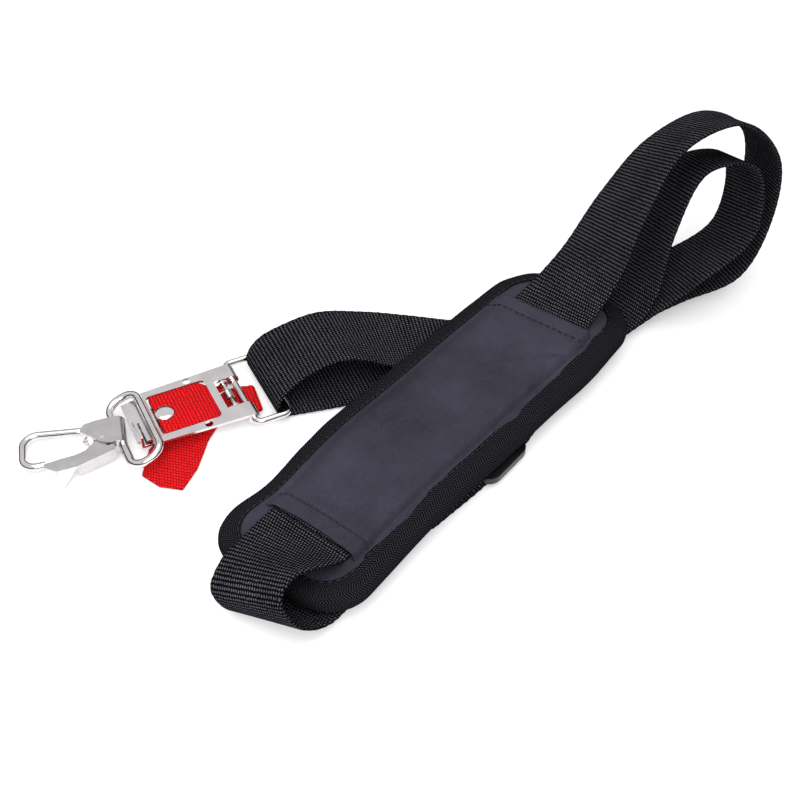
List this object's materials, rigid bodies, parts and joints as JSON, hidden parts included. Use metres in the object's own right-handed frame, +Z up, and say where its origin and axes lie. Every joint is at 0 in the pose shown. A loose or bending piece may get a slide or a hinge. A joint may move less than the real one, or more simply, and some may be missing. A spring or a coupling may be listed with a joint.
{
  "type": "padded shoulder harness strap",
  "caption": "Padded black webbing shoulder strap ending in a nickel quick-release plate with a red pull strap, a wire ring and a spring snap hook, laid loosely looped.",
  "frame": {"origin": "centre of the strap's footprint as laid out, on the table it lies on", "axes": "+X along the shoulder pad towards the two standing webbing loops, +Z up from the table, the hook and quick-release plate lie on the +Y side at the -X end"},
  "size_m": [0.3302, 0.1986, 0.0937],
  "materials": {
    "webbing_black": "woven matte",
    "buckle_plastic": "satin",
    "pad_foam": "closed-cell foam",
    "pad_cloth": "fine plain weave, slight sheen",
    "pad_mesh": "knitted mesh",
    "binding_tape": "herringbone tape",
    "nickel_wire": "bright nickel plate",
    "nickel_sheet": "bright nickel plate with fine scratches",
    "nickel_rivet": "polished",
    "spring_steel": "bright drawn wire",
    "webbing_red": "woven matte"
  },
  "bodies": {
    "strap": {"webbing_sleeve": "webbing_black", "webbing_outer_loop": "webbing_black", "webbing_inner_loop": "webbing_black", "webbing_lower_fold": "webbing_black", "webbing_ring_run": "webbing_black", "tri_glide": "buckle_plastic"},
    "pad": {"pad_back": "pad_mesh", "pad_foam": "pad_foam", "pad_face": "pad_cloth", "pad_binding": "binding_tape", "sleeve_panel": "pad_cloth"},
    "ring": {"strap_ring": "nickel_wire"},
    "plate": {"release_plate": "nickel_sheet", "lever_pin": "nickel_wire", "lever_spring": "spring_steel", "pull_fold": "webbing_red"},
    "lever": {"release_lever": "nickel_sheet", "release_strap": "webbing_red", "pull_tail": "webbing_red", "strap_rivet": "nickel_rivet", "rivet_washer": "nickel_rivet"},
    "hook_link": {"hook_ring": "nickel_wire"},
    "hook": {"hook_body": "nickel_sheet", "hook_wire": "nickel_wire", "gate_pin": "nickel_rivet", "gate_spring": "spring_steel"},
    "gate_leaf": {"gate": "nickel_sheet"}
  },
  "joints": [
    {"name": "pad_slide", "type": "slide", "parent": "strap", "child": "pad", "axis": [1, 0, 0], "range_m": [0, 0.002]},
    {"name": "ring_swing", "type": "hinge", "parent": "strap", "child": "ring", "pos_m": [-0.06116, 0.03853, 0.0052], "axis": [0.4305, 0.9026, 0], "range_deg": [-5, 60]},
    {"name": "plate_swing", "type": "hinge", "parent": "ring", "child": "plate", "pos_m": [-0.0747, 0.04499, 0.0052], "axis": [0.4305, 0.9026, 0], "range_deg": [-10, 55]},
    {"name": "lever_release", "type": "hinge", "parent": "plate", "child": "lever", "pos_m": [-0.07921, 0.04714, 0.006], "axis": [-0.4305, -0.9026, 0], "range_deg": [0, 15], "stiffness_Nm_per_rad": 0.03, "springref_deg": -28.65},
    {"name": "hook_link_swing", "type": "hinge", "parent": "plate", "child": "hook_link", "pos_m": [-0.11297, 0.06324, 0.0102], "axis": [0.4305, 0.9026, 0], "range_deg": [-3, 60]},
    {"name": "hook_swing", "type": "hinge", "parent": "hook_link", "child": "hook", "pos_m": [-0.12477, 0.06887, 0.00518], "axis": [0.4305, 0.9026, 0], "range_deg": [-60, 40]},
    {"name": "gate_open", "type": "hinge", "parent": "hook", "child": "gate_leaf", "pos_m": [-0.1321, 0.06953, 0.00475], "axis": [0.0567, -0.027, -0.998], "range_deg": [0, 20], "stiffness_Nm_per_rad": 0.01, "springref_deg": -22.92}
  ]
}
